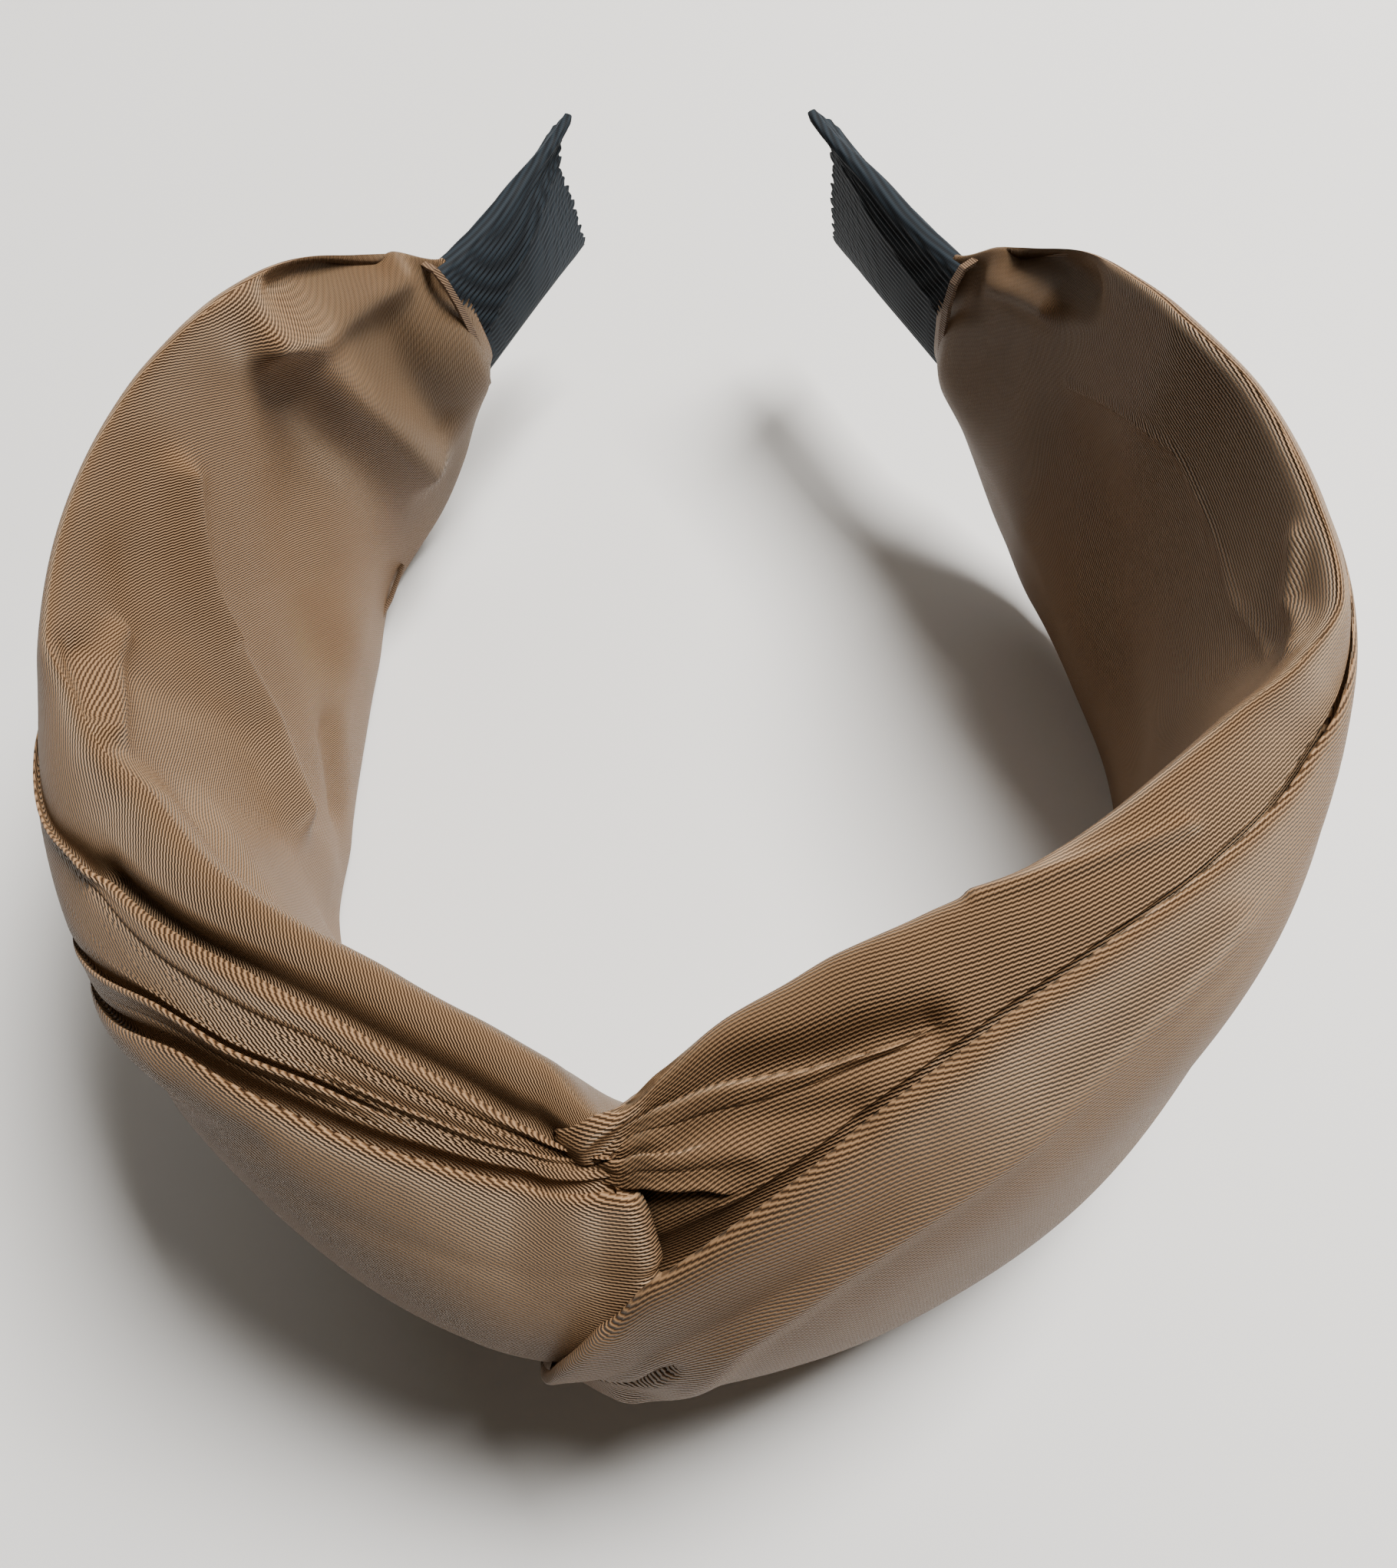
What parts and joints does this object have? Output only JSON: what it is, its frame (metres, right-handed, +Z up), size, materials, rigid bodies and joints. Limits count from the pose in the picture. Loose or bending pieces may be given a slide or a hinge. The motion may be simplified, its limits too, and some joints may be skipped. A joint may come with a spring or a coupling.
{
  "type": "twist headband",
  "caption": "Wide satin headband with a twisted front knot over a springy open hoop, its ends wrapped in ribbon.",
  "frame": {"origin": "centre of the bounding box in plan, on the surface that the band's lower edge rests on", "axes": "+X from the left arm to the right arm, -Y towards the knot, +Y towards the open tips, +Z up across the width of the band"},
  "size_m": [0.1368, 0.161, 0.07],
  "materials": {
    "satin": "soft sheen twill-backed satin, camel",
    "grosgrain": "matt ribbed ribbon, navy black",
    "thread": "polyester sewing thread, camel",
    "wadding": "white polyester wadding",
    "hoop_plastic": "satin black moulded plastic"
  },
  "bodies": {
    "crown": {"hoop_crown": "hoop_plastic", "crown_wadding": "wadding", "left_wrap": "satin", "right_wrap": "satin", "knot_tack_thread": "thread"},
    "left_arm": {"left_hoop_arm": "hoop_plastic", "left_sleeve": "satin", "left_seam_thread": "thread", "left_gather_thread": "thread", "left_end_ribbon": "grosgrain"},
    "right_arm": {"right_hoop_arm": "hoop_plastic", "right_sleeve": "satin", "right_seam_thread": "thread", "right_gather_thread": "thread", "right_end_ribbon": "grosgrain"}
  },
  "joints": [
    {"name": "left_arm_flex", "type": "hinge", "parent": "crown", "child": "left_arm", "pos_m": [-0.04071, -0.04037, 0.035], "axis": [0, 0, 1], "range_deg": [-6, 24], "stiffness_Nm_per_rad": 0.4},
    {"name": "right_arm_flex", "type": "hinge", "parent": "crown", "child": "right_arm", "pos_m": [0.04414, -0.04037, 0.035], "axis": [0, 0, -1], "range_deg": [-6, 24], "stiffness_Nm_per_rad": 0.4}
  ]
}
